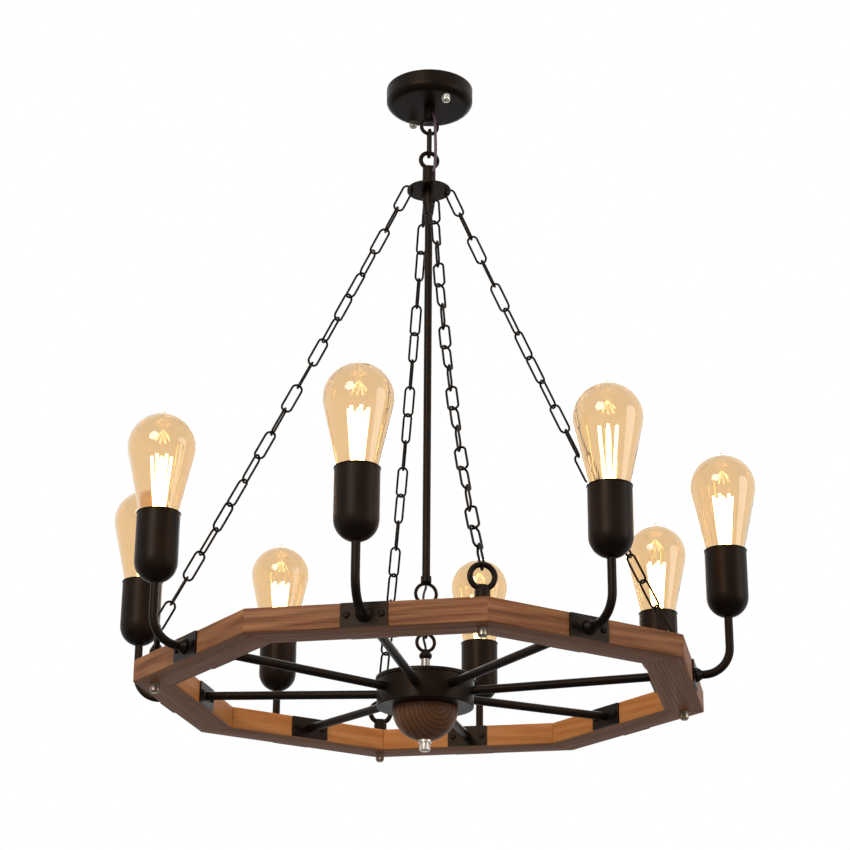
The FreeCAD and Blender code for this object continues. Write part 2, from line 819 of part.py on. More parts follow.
def plate_screw():
    """A pan-head screw pointing along -X, the underside of its head at the origin."""
    head = Part.makeCylinder(screw_head_diameter / 2, screw_head_height, Vector(0, 0, 0))
    top_edge = [e for e in head.Edges if abs(e.BoundBox.ZMin - screw_head_height) < 1e-6]
    head = head.makeFillet(screw_head_height * 0.6, top_edge)
    for turn in (0, 90):
        bar = Part.makeBox(screw_head_diameter * 0.6, 0.7, screw_head_height,
                           Vector(-screw_head_diameter * 0.3, -0.35, screw_head_height * 0.5))
        bar.rotate(Vector(0, 0, 0), Vector(0, 0, 1), turn)
        head = head.cut(bar)
    length = screw_length - 0.5
    point = 3.0
    shank = Part.makeCylinder(screw_diameter / 2, length - point, Vector(0, 0, point - length))
    tip = Part.makeCone(0.2, screw_diameter / 2, point, Vector(0, 0, -length))
    return pointing_out(head.fuse(shank).fuse(tip).removeSplitter())


def plate_screws():
    screw = plate_screw()
    screws = []
    for offset in screw_offsets():
        outer = screw.copy()
        outer.translate(Vector(plate_outer_face, offset, ring_middle))
        inner = screw.copy()
        inner.rotate(Vector(0, 0, 0), Vector(0, 0, 1), 180)
        inner.translate(Vector(plate_inner_face, offset, ring_middle))
        screws += [outer, inner]
    return [placed(s, angle) for angle in beam_angles for s in screws]


# ---------------------------------------------------------------- lamp arms, cups and holders


def arm_path(start, end):
    return [(start, 0, ring_middle), (lamp_radius, 0, ring_middle), (lamp_radius, 0, end)]


def lamp_arm():
    """The bent tube from the outer plate up to the cup, with its flared boss on the plate."""
    body = swept(arm_path(plate_outer_face, arm_top), arm_diameter, radii=arm_bend_radius)
    neck = arm_diameter / 2
    boss = Part.makeCone(arm_boss_diameter / 2, neck, arm_boss_length * 0.7)
    seat = Part.makeCylinder(arm_boss_diameter / 2, arm_boss_length * 0.3)
    boss.translate(Vector(0, 0, arm_boss_length * 0.3))
    flare = pointing_out(seat.fuse(boss))
    body = body.fuse(placed(flare, 0, plate_outer_face, ring_middle)).removeSplitter()
    return body.cut(swept(arm_path(plate_outer_face, arm_top), arm_bore, radii=arm_bend_radius))


def lamp_cup():
    """A round-bottomed metal cup around the bulb holder, its axis on Z."""
    outer = cup_diameter / 2
    inner = outer - cup_wall
    centre = cup_bottom + outer
    hole = arm_diameter / 2 + thread_play
    lip = outer + cup_rim_bead
    outer_low = math.degrees(-math.acos(hole / outer))
    inner_low = math.degrees(-math.acos(hole / inner))
    edges = [
        line((inner, cup_top), (lip - cup_rim_bead / 2, cup_top)),
        arc((lip - cup_rim_bead / 2, cup_top), (lip, cup_top - cup_rim_bead),
            (outer, cup_top - 2 * cup_rim_bead)),
        line((outer, cup_top - 2 * cup_rim_bead), (outer, centre)),
        arc((outer, centre), on_circle(outer, centre, outer_low / 2),
            on_circle(outer, centre, outer_low)),
        line(on_circle(outer, centre, outer_low), on_circle(inner, centre, inner_low)),
        arc(on_circle(inner, centre, inner_low), on_circle(inner, centre, inner_low / 2),
            (inner, centre)),
        line((inner, centre), (inner, cup_top)),
    ]
    return turned_edges(edges)


def lampholder():
    """The insulating body in the cup: a bore for the bulb's cap over a floor with the live tab."""
    bore = socket_bore / 2
    wall = bore + holder_wall
    top = holder_bottom + holder_height
    tip = holder_tip_diameter
    seat = arm_diameter / 2 + thread_play
    arm_end = arm_top + hole_play
    lead = lead_diameter / 2 + hole_play
    return turned([
        (seat, holder_bottom + 1.5), (tip, holder_bottom + 1.5),
        (wall - 3.0, socket_floor - holder_floor), (wall, socket_floor - holder_floor + 5.0),
        (wall, top), (bore, top), (bore, socket_floor), (lead, socket_floor), (lead, arm_end),
        (seat, arm_end),
    ])


# ---------------------------------------------------------------- bulb


def bulb_contact():
    """The button at the bottom of the bulb's cap, resting on the holder's floor."""
    wide = contact_diameter / 2
    top = contact_bottom + contact_height
    edges = [
        line((0, contact_bottom), (wide * 0.5, contact_bottom)),
        arc((wide * 0.5, contact_bottom), (wide * 0.85, contact_bottom + contact_height * 0.35),
            (wide, top)),
        line((wide, top), (0, top)),
        line((0, top), (0, contact_bottom)),
    ]
    return turned_edges(edges)


def bulb_cap():
    """The screw cap as a thin shell; each thread crest and root is one round ring."""
    crest = cap_diameter / 2
    root = crest - thread_depth
    inside = root - cap_wall
    start = cap_bottom + 2.6
    edges = [line((contact_diameter / 2, cap_bottom), (root, start))]
    z = start
    for _ in range(thread_turns):
        step = thread_pitch / 2
        edges.append(arc((root, z), (crest, z + step / 2), (root, z + step)))
        edges.append(arc((root, z + step), (root - 0.15, z + 1.5 * step), (root, z + 2 * step)))
        z += thread_pitch
    edges += [
        line((root, z), (root, cap_top)),
        line((root, cap_top), (inside, cap_top)),
        line((inside, cap_top), (inside, start + 0.3)),
        line((inside, start + 0.3), (contact_diameter / 2, cap_bottom + 0.8)),
        line((contact_diameter / 2, cap_bottom + 0.8), (contact_diameter / 2, cap_bottom)),
    ]
    return turned_edges(edges)


def bulb_insulator():
    """The insulating ring between the cap and the contact button."""
    wide = contact_diameter / 2
    bottom = cap_bottom - cap_insulator_height
    return turned([(0, bottom), (wide + 0.6, bottom), (wide, cap_bottom), (0, cap_bottom)])


def bulb_stem():
    """The glass stem that carries the filaments, flared where it closes the neck."""
    neck = glass_neck_diameter / 2 - glass_wall
    foot = cap_top - glass_neck_in_cap
    rod = stem_diameter / 2
    top = cap_top + filament_top_height
    plate = filament_top_radius + filament_diameter / 2
    return turned([(0, foot), (neck, foot), (neck, foot + 1.0), (rod, foot + 14.0),
                   (rod, top), (plate, top), (plate, top + 0.8), (0, top + 0.8)])


def bulb_filaments():
    """Straight filaments leaning outward from a collar on the stem to the plate above."""
    foot_z = cap_top + filament_foot_height
    top_z = cap_top + filament_top_height
    pieces = []
    for k in range(filament_count):
        a = 2 * math.pi * k / filament_count
        foot = Vector(filament_foot_radius * math.cos(a), filament_foot_radius * math.sin(a), foot_z)
        head = Vector(filament_top_radius * math.cos(a), filament_top_radius * math.sin(a), top_z)
        lean = head - foot
        rod = Part.makeCylinder(filament_diameter / 2, lean.Length * 1.1, foot, lean)
        below = Part.makeBox(60, 60, 60, Vector(-30, -30, top_z - 60))
        pieces.append(rod.common(below))
    collar = tube(2 * (filament_foot_radius + filament_diameter), stem_diameter,
                  foot_z - 1.2, foot_z - 0.3)
    return pieces + [collar]


def bulb_base():
    return [bulb_cap(), bulb_insulator(), bulb_stem()] + bulb_filaments()


def glass_outline(inset):
    """The bulb's side from its neck to the pole, drawn in by a wall thickness: a short neck, a
    throat, a straight flank and a round dome, as (edges, lowest point, highest point)."""
    radius = glass_diameter / 2 - inset
    neck = glass_neck_diameter / 2 - inset
    throat = (glass_throat_diameter / 2 - inset, cap_top + glass_throat_above_cap)
    low = (neck, cap_top - glass_neck_in_cap)
    neck_top = (neck, cap_top + 0.5)
    rise = glass_centre - throat[1]
    to_centre = math.hypot(throat[0], rise)
    lean = math.asin(radius / to_centre) - math.atan2(throat[0], rise)
    flank_top = (radius * math.cos(lean), glass_centre - radius * math.sin(lean))
    pole = (0, glass_centre + radius)
    middle = on_circle(radius, glass_centre, 90.0 * 0.5 - math.degrees(lean) * 0.5)
    edges = [line(low, neck_top), line(neck_top, throat), line(throat, flank_top),
             arc(flank_top, middle, pole)]
    return edges, low, pole


def bulb_glass():
    """The glass envelope, a thin shell with a small drawn tip on its dome."""
    outside, low_out, top_out = glass_outline(0.0)
    inside, low_in, top_in = glass_outline(glass_wall)
    shell = turned_edges(outside + inside + [line(low_out, low_in), line(top_out, top_in)])
    tip = Part.makeCone(glass_tip_diameter / 2, glass_tip_diameter / 4,
                        glass_tip_height + glass_wall / 2, Vector(0, 0, top_out[1] - glass_wall / 2))
    return shell.fuse(tip)


# ---------------------------------------------------------------- eye bolts and chains


def eye_bolt():
    """A cast ring on a collar, with its shank through the beam."""
    collar = Part.makeCylinder(eye_collar_diameter / 2, eye_collar_height, Vector(0, 0, ring_top))
    cheek = Part.makeCone(eye_collar_diameter / 2, eye_wire / 2, eye_outside * 0.3,
                          Vector(0, 0, eye_collar_top))
    hole = eye_outside / 2 - eye_wire
    clear = Part.makeCylinder(hole, 2 * eye_outside, Vector(0, -eye_outside, eye_centre),
                              Vector(0, 1, 0))
    length = beam_height + eye_nut_height - 3.0
    shank = Part.makeCylinder(eye_shank_diameter / 2, length, Vector(0, 0, ring_top - length))
    ring = upright_ring(eye_outside, eye_wire, eye_centre)
    ring.translate(Vector(0, 0, -eye_wire * 0.1))
    bolt = collar.fuse(cheek).cut(clear).fuse(shank).fuse(ring)
    bolt.rotate(Vector(0, 0, 0), Vector(0, 0, 1), 90)
    return bolt


def eye_nut():
    """A domed cap nut under the beam."""
    bottom = ring_bottom - eye_nut_height
    radius = eye_nut_diameter / 2
    nut = turned([(0, bottom), (radius * 0.55, bottom), (radius * 0.9, bottom + 2.0),
                  (radius * 0.9, ring_bottom - 1.2), (radius, ring_bottom - 1.2),
                  (radius, ring_bottom), (0, ring_bottom)])
    depth = eye_nut_height - 3.0 + thread_play
    return nut.cut(Part.makeCylinder(eye_shank_diameter / 2 + thread_play, depth,
                                     Vector(0, 0, ring_bottom - depth)))


def chain_run(sag):
    """Points evenly along a chain's curve in its own upright plane, from the strip outside the
    disc's hole to the upper wire of the eye, as (distance, radius, height)."""
    start = (disc_edge_radius - chain_hole_edge / 2, disc_bottom + disc_thickness / 2)
    end = (bolt_radius, eye_high_wire - eye_wire * 0.1)
    chord = (end[0] - start[0], end[1] - start[1])
    length = math.hypot(*chord)
    normal = (chord[1] / length, -chord[0] / length)
    count = 400
    points = []
    travelled = 0.0
    for k in range(count + 1):
        u = k / count
        drop = 4 * sag * u * (1 - u)
        point = (start[0] + chord[0] * u + normal[0] * drop,
                 start[1] + chord[1] * u + normal[1] * drop)
        if points:
            travelled += math.hypot(point[0] - points[-1][1], point[1] - points[-1][2])
        points.append((travelled,) + point)
    return points


def at_distance(points, distance):
    """The place and the lean from the vertical, in degrees, at a distance along a chain's curve."""
    k = 1
    while k < len(points) - 1 and points[k][0] < distance:
        k += 1
    before, after = points[k - 1], points[k]
    share = (distance - before[0]) / (after[0] - before[0])
    radius = before[1] + (after[1] - before[1]) * share
    height = before[2] + (after[2] - before[2]) * share
    lean = math.degrees(math.atan2(after[1] - before[1], before[2] - after[2]))
    return radius, height, lean


def chains():
    """Four chains of equal links. The longest run sets the link's length, and the first and last
    link of each chain stand in its upright plane; the links between twist evenly."""
    strip = math.hypot(disc_thickness, chain_hole_edge) / 2
    seats = strip + eye_wire / 2
    runs = [chain_run(sag) for sag in chain_sags]
    longest = max(run[-1][0] for run in runs)
    count = max(3, round((longest + seats) / chain_link_target))
    inside = (longest + seats + (count + 1) * chain_play) / count
    link = chain_like_link(inside, chain_link_width, chain_wire)
    result = []
    for run, angle, twist in zip(runs, chain_angles, chain_twists):
        play = (count * inside - seats - run[-1][0]) / (count + 1)
        half_turns = round((count - 1) * twist / 180.0)
        step = 180.0 * half_turns / (count - 1)
        links = []
        for k in range(count):
            distance = inside / 2 - strip - play + k * (inside - play)
            radius, height, lean = at_distance(run, distance)
            piece = link.copy()
            piece.rotate(Vector(0, 0, 0), Vector(0, 0, 1), k * step)
            piece.rotate(Vector(0, 0, 0), Vector(0, 1, 0), -lean)
            links.append(placed(piece, angle, radius, height))
        result.append(links)
    print("chain links", count, "inside length %.2f" % inside)
    return result


# ---------------------------------------------------------------- leads


def rod_lead():
    """The lead that shows between the rod's loop and the hub's loop, beside the link."""
    side = lower_link_wire / 2 + lead_diameter / 2 + 1.0
    front = -(lower_link_width / 2 + lead_diameter / 2 + 0.6)
    top = collar_bottom + 1.5
    bottom = bead_top + 0.4
    middle = (top + bottom) / 2
    points = [
        (0, 0, top),
        (0, 0, top - 6.5),
        (-side, front * 0.62, top - 16.0),
        (-side, front, middle + 8.0),
        (-side, front, middle - 6.0),
        (-side, front * 0.7, bottom + 13.5),
        (0, 0, bottom + 5.0),
        (0, 0, bottom),
    ]
    return swept(points, lead_diameter, label="rod lead")


def lamp_lead():
    """The lead of one lamp: from the hub through the spoke, beam and arm to the holder's floor."""
    (r0, z0), (r1, z1) = spoke_line()
    slope = (z1 - z0) / (r1 - r0)
    inner = nipple_diameter / 2 + lead_clear_of_end
    points = [
        (inner, 0, z0 - slope * (r0 - inner)),
        (r1, 0, z1),
        (lamp_radius, 0, ring_middle),
        (lamp_radius, 0, socket_floor - lead_clear_of_end),
    ]
    straight = Part.LineSegment(Vector(*points[0]), Vector(*points[1])).toShape()
    along = (Vector(*points[1]) - Vector(*points[0])).normalize()
    section = Part.Wire(Part.Circle(Vector(*points[0]), along, lead_diameter / 2).toShape())
    inside_spoke = Part.Wire([straight]).makePipeShell([section], True, False)
    inside_arm = swept(points[1:], lead_diameter, radii=arm_bend_radius)
    joint = Part.makeSphere(lead_diameter / 2, Vector(*points[1]))
    return inside_spoke.fuse(joint).fuse(inside_arm).removeSplitter()


# ---------------------------------------------------------------- the whole light


def build_ceiling_end():
    save("ceiling_bracket", ceiling_bracket())
    save("canopy", canopy())
    save_group("canopy_studs", canopy_studs())
    save_group("canopy_nuts", canopy_nuts())
    save("canopy_loop", canopy_loop())
    save("loop_nut", loop_nut())
    save_group("wire_connectors", wire_connectors())
    save("hang_link", standing_link(hang_link_inside, hang_link_width, hang_link_wire,
                                    hang_link_top))
    upper, lower = supply_cord()
    save("supply_cord_upper", upper)
    save("supply_cord_lower", lower)


def build_rod_and_hub():
    save("top_eye", top_eye())
    save("top_disc", top_disc())
    save("rod_coupler", rod_coupler())
    save("down_rod", down_rod())
    save("rod_loop", rod_loop())
    save("lower_link", standing_link(lower_link_inside, lower_link_width, lower_link_wire,
                                     lower_link_top))
    save("hub_loop", hub_loop())
    save("hub_nipple", hub_nipple())
    save("hub_drum", hub_drum())
    save("hub_cover", hub_cover())
    save("wood_bowl", wood_bowl())
    save("finial_nut", finial_nut())
    one_spoke = spoke()
    save_group("spokes", [placed(one_spoke, angle) for angle in beam_angles])


def build_ring():
    save_group("ring_segments", ring_segments())
    save_group("beam_plates", beam_plates())
    save_group("plate_screws", plate_screws())
    arm = lamp_arm()
    save_group("lamp_arms", [placed(arm, angle) for angle in beam_angles])
    cup = lamp_cup()
    save_group("lamp_cups", [placed(cup, angle, lamp_radius) for angle in beam_angles])
    holder = lampholder()
    save_group("lampholders", [placed(holder, angle, lamp_radius) for angle in beam_angles])
    bolt = eye_bolt()
    save_group("eye_bolts", [placed(bolt, angle, bolt_radius) for angle in chain_angles])
    nut = eye_nut()
    save_group("eye_nuts", [placed(nut, angle, bolt_radius) for angle in chain_angles])
    for name, links in zip(chain_names, chains()):
        save_group("chain_" + name, links)
    lead = lamp_lead()
    save_group("inner_leads", [rod_lead()] + [placed(lead, angle) for angle in beam_angles])


def build_bulbs():
    glass = bulb_glass()
    base = Part.Compound(bulb_base())
    contact = bulb_contact()
    for number, angle in enumerate(beam_angles, start=1):
        save("bulb_glass_%d" % number, placed(glass, angle, lamp_radius))
        save("bulb_base_%d" % number, placed(base, angle, lamp_radius))
        save("bulb_contact_%d" % number, placed(contact, angle, lamp_radius))


os.makedirs("parts", exist_ok=True)
build_ceiling_end()
build_rod_and_hub()
build_ring()
build_bulbs()
print("ring middle %.2f  cup top %.2f  bowl bottom %.2f  lamp radius %.2f"
      % (ring_middle, cup_top, bowl_bottom, lamp_radius))
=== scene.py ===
"""Looks of the wagon wheel chandelier: stained pine ring, black steelwork, amber filament bulbs.

Metres, +Z up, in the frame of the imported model. Its origin is the middle of the canopy's rim.
"""

import math

import bpy
from mathutils import Matrix, Vector


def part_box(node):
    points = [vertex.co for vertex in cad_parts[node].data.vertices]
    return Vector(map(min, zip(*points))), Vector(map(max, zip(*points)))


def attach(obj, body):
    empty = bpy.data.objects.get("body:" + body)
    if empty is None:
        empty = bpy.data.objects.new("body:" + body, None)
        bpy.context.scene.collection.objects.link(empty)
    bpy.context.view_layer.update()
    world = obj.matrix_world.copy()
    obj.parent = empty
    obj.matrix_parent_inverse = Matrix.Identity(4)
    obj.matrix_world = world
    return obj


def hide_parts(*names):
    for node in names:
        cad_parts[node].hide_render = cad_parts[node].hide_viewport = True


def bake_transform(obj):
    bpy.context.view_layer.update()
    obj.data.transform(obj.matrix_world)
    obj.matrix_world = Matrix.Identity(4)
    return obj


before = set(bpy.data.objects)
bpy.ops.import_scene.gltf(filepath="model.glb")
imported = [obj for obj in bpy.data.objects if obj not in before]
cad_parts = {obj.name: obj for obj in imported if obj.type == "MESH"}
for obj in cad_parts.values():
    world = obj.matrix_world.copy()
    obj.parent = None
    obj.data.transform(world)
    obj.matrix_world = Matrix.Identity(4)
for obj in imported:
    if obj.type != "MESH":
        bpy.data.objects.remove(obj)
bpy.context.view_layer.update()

MM = 0.001
BULBS = range(1, 9)

# ------------------------------------------------------------------ small tools


def linear(colour):
    """An sRGB hex colour as the linear RGBA that a shader takes."""
    parts = [int(colour[i:i + 2], 16) / 255 for i in (1, 3, 5)]
    return [c / 12.92 if c <= 0.04045 else ((c + 0.055) / 1.055) ** 2.4 for c in parts] + [1.0]


def per(mm):
    """A texture's scale, so that one of its cells or periods is this many millimetres."""
    return 1 / (mm * MM)


def add(tree, kind, inputs=None, stops=None, **settings):
    """Adds a node, sets its properties, and feeds its sockets with values or other nodes' outputs."""
    node = tree.nodes.new(kind)
    for key, value in settings.items():
        setattr(node, key, value)
    for socket, value in (inputs or {}).items():
        if isinstance(value, bpy.types.NodeSocket):
            tree.links.new(value, node.inputs[socket])
        else:
            node.inputs[socket].default_value = value
    if stops:
        ramp = node.color_ramp
        while len(ramp.elements) < len(stops):
            ramp.elements.new(0.5)
        for element, (place, colour) in zip(ramp.elements, stops):
            element.position = place
            element.color = linear(colour)
    return node


def new_material(name):
    """An empty material with its node tree and its Principled shader."""
    material = bpy.data.materials.new(name)
    material.use_nodes = True
    return material, material.node_tree, material.node_tree.nodes["Principled BSDF"]


def finish_shape(mesh, sharp_above=35):
    """Smooth shading, with the edges sharper than this many degrees kept crisp."""
    mesh.shade_smooth()
    mesh.set_sharp_from_angle(angle=math.radians(sharp_above))
    return mesh


def piece(name, mesh, material, body, matrix=None):
    """Puts a mesh into the scene as a named piece that rides on a body."""
    mesh.materials.clear()
    mesh.materials.append(material)
    thing = bpy.data.objects.new(name, mesh)
    bpy.context.scene.collection.objects.link(thing)
    if matrix is not None:
        thing.matrix_world = matrix
    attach(thing, body)
    return thing


def lathe(name, outline, steps=72, closed=True):
    """A turned mesh about Z from (radius, height) points in metres."""
    rings, verts = [], []
    for radius, height in outline:
        if radius < 1e-7:
            rings.append([len(verts)] * steps)
            verts.append((0, 0, height))
            continue
        rings.append(list(range(len(verts), len(verts) + steps)))
        for k in range(steps):
            a = 2 * math.pi * k / steps
            verts.append((radius * math.cos(a), radius * math.sin(a), height))
    faces = []
    pairs = list(zip(rings, rings[1:] + rings[:1])) if closed else list(zip(rings, rings[1:]))
    for low, high in pairs:
        for k in range(steps):
            corner = [low[k], low[(k + 1) % steps], high[(k + 1) % steps], high[k]]
            corner = [v for i, v in enumerate(corner) if v not in corner[:i]]
            if len(corner) > 2:
                faces.append(corner)
    mesh = bpy.data.meshes.new(name)
    mesh.from_pydata(verts, [], faces)
    mesh.validate()
    return finish_shape(mesh)


def arc(centre, radius, start, end, count):
    """(radius, height) points along an arc, by angles in degrees from the outward direction."""
    points = []
    for k in range(count + 1):
        a = math.radians(start + (end - start) * k / count)
        points.append((centre[0] + radius * math.cos(a), centre[1] + radius * math.sin(a)))
    return points


def tube(name, path, radius, sides=16):
    """A round tube along points, closed at both ends."""
    path = [Vector(p) for p in path]
    side = (path[1] - path[0]).orthogonal().normalized()
    verts, faces = [], []
    for k, point in enumerate(path):
        ahead = (path[min(k + 1, len(path) - 1)] - path[max(k - 1, 0)]).normalized()
        side = (side - ahead * side.dot(ahead)).normalized()
        across = ahead.cross(side)
        for j in range(sides):
            a = 2 * math.pi * j / sides
            verts.append(point + (side * math.cos(a) + across * math.sin(a)) * radius)
    for k in range(len(path) - 1):
        for j in range(sides):
            a, b = k * sides + j, k * sides + (j + 1) % sides
            faces.append((a, b, b + sides, a + sides))
    faces.append(list(range(sides))[::-1])
    faces.append(list(range(len(verts) - sides, len(verts))))
    mesh = bpy.data.meshes.new(name)
    mesh.from_pydata(verts, [], faces)
    return finish_shape(mesh, 50)


def joined(name, meshes):
    """One mesh from several."""
    verts, faces = [], []
    for mesh in meshes:
        base = len(verts)
        verts += [v.co.copy() for v in mesh.vertices]
        faces += [[base + i for i in p.vertices] for p in mesh.polygons]
        bpy.data.meshes.remove(mesh)
    whole = bpy.data.meshes.new(name)
    whole.from_pydata(verts, [], faces)
    return finish_shape(whole)


# ------------------------------------------------------------------ camera

CAMERA_PLACE = Vector((-0.37367, -1.97188, -1.15131))
CAMERA_TURN = -10.666
CAMERA_LIFT = 20.915
CAMERA_ROLL = 0.439
CAMERA_LENS = 90.03


def make_camera():
    """The photograph's viewpoint: a little left of the front, below the wheel, looking up."""
    data = bpy.data.cameras.new("camera")
    data.lens = CAMERA_LENS
    data.sensor_width = 36.0
    data.clip_end = 50.0
    camera = bpy.data.objects.new("camera", data)
    bpy.context.scene.collection.objects.link(camera)
    turn, lift, roll = (math.radians(a) for a in (CAMERA_TURN, CAMERA_LIFT, CAMERA_ROLL))
    ahead = Vector((-math.sin(turn) * math.cos(lift), math.cos(turn) * math.cos(lift), math.sin(lift)))
    right = Vector((math.cos(turn), math.sin(turn), 0))
    up = right.cross(ahead)
    right, up = (right * math.cos(roll) + up * math.sin(roll),
                 up * math.cos(roll) - right * math.sin(roll))
    facing = Matrix((right, up, -ahead)).transposed().to_4x4()
    camera.matrix_world = Matrix.Translation(CAMERA_PLACE) @ facing
    bpy.context.scene.camera = camera


make_camera()

# ------------------------------------------------------------------ supply cord

CORD_DIAMETER = 3.2 * MM
CORD_MEETING = Vector((5.6, -6.1, -63.65)) * MM
CORD_DOWN = Vector((0.4, 0.2, -13.0)).normalized()
CORD_UPPER = [
    (0, 0, -11.3 * MM),
    (0, 0, -23.5 * MM),
    (4.362 * MM, -6.467 * MM, -31.3 * MM),
    CORD_MEETING - CORD_DOWN * 11.5 * MM,
    CORD_MEETING,
]
CORD_LOWER = [
    CORD_MEETING,
    CORD_MEETING + CORD_DOWN * 10 * MM,
    (5.2 * MM, -6.6 * MM, -87.2 * MM),
    (4.53 * MM, -6.715 * MM, -96.6 * MM),
    (0, 0, -104.7 * MM),
    (0, 0, -113.7 * MM),
]


def smooth_line(name, route):
    """Points along the smooth curve that a route's points control."""
    curve = bpy.data.curves.new(name, "CURVE")
    curve.dimensions = "3D"
    spline = curve.splines.new("NURBS")
    spline.points.add(len(route) - 1)
    for point, place in zip(spline.points, route):
        point.co = (*place, 1.0)
    spline.order_u = 3
    spline.use_endpoint_u = True
    spline.resolution_u = 12
    holder = bpy.data.objects.new(name, curve)
    line = bpy.data.meshes.new_from_object(holder)
    points = [v.co.copy() for v in line.vertices]
    bpy.data.objects.remove(holder)
    bpy.data.meshes.remove(line)
    return points


def make_cord(name, route, node, material):
    """One length of the supply cord, a fixed tube; the real cord bends where the link or the eye swings."""
    points = smooth_line(name + "_line", route)
    mesh = tube(name, points, CORD_DIAMETER / 2, sides=20)
    mesh.materials.append(material)
    cord = bpy.data.objects.new(name, mesh)
    bpy.context.scene.collection.objects.link(cord)
    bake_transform(cord)
    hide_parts(node)


def wire_insulation():
    """PVC wire insulation, extruded: smooth, a little glossy, dark wine brown."""
    material, tree, shader = new_material("pvc_wire_insulation")
    place = add(tree, "ShaderNodeTexCoord").outputs["Object"]
    mottle = add(tree, "ShaderNodeTexNoise", {"Vector": place, "Scale": per(4.0), "Detail": 3.0})
    colour = add(tree, "ShaderNodeValToRGB", {"Fac": mottle.outputs["Fac"]},
                 stops=[(0.3, "#321a22"), (0.7, "#47242f")])
    tree.links.new(colour.outputs["Color"], shader.inputs["Base Color"])
    shader.inputs["Roughness"].default_value = 0.38
    shader.inputs["IOR"].default_value = 1.53
    return material


wire_material = wire_insulation()
make_cord("supply_cord_top_length", CORD_UPPER, "supply_cord_upper",
          wire_material)
make_cord("supply_cord_bottom_length", CORD_LOWER, "supply_cord_lower",
          wire_material)

# ------------------------------------------------------------------ wood


BEAM_WIDTH = 38 * MM
BEAM_EDGE = 1.2 * MM
MITRE_EDGE = 0.4 * MM
SIDES = 8
PINE_RING = 4.0
WALNUT_RING = 4.0
# Real fibres are 0.05 mm wide. They are drawn wider so that they show.
FIBRE = 0.9
# A ring texture has 20 / (2 pi) periods in each unit of its scale.
RING_TURN = 2 * math.pi / 20


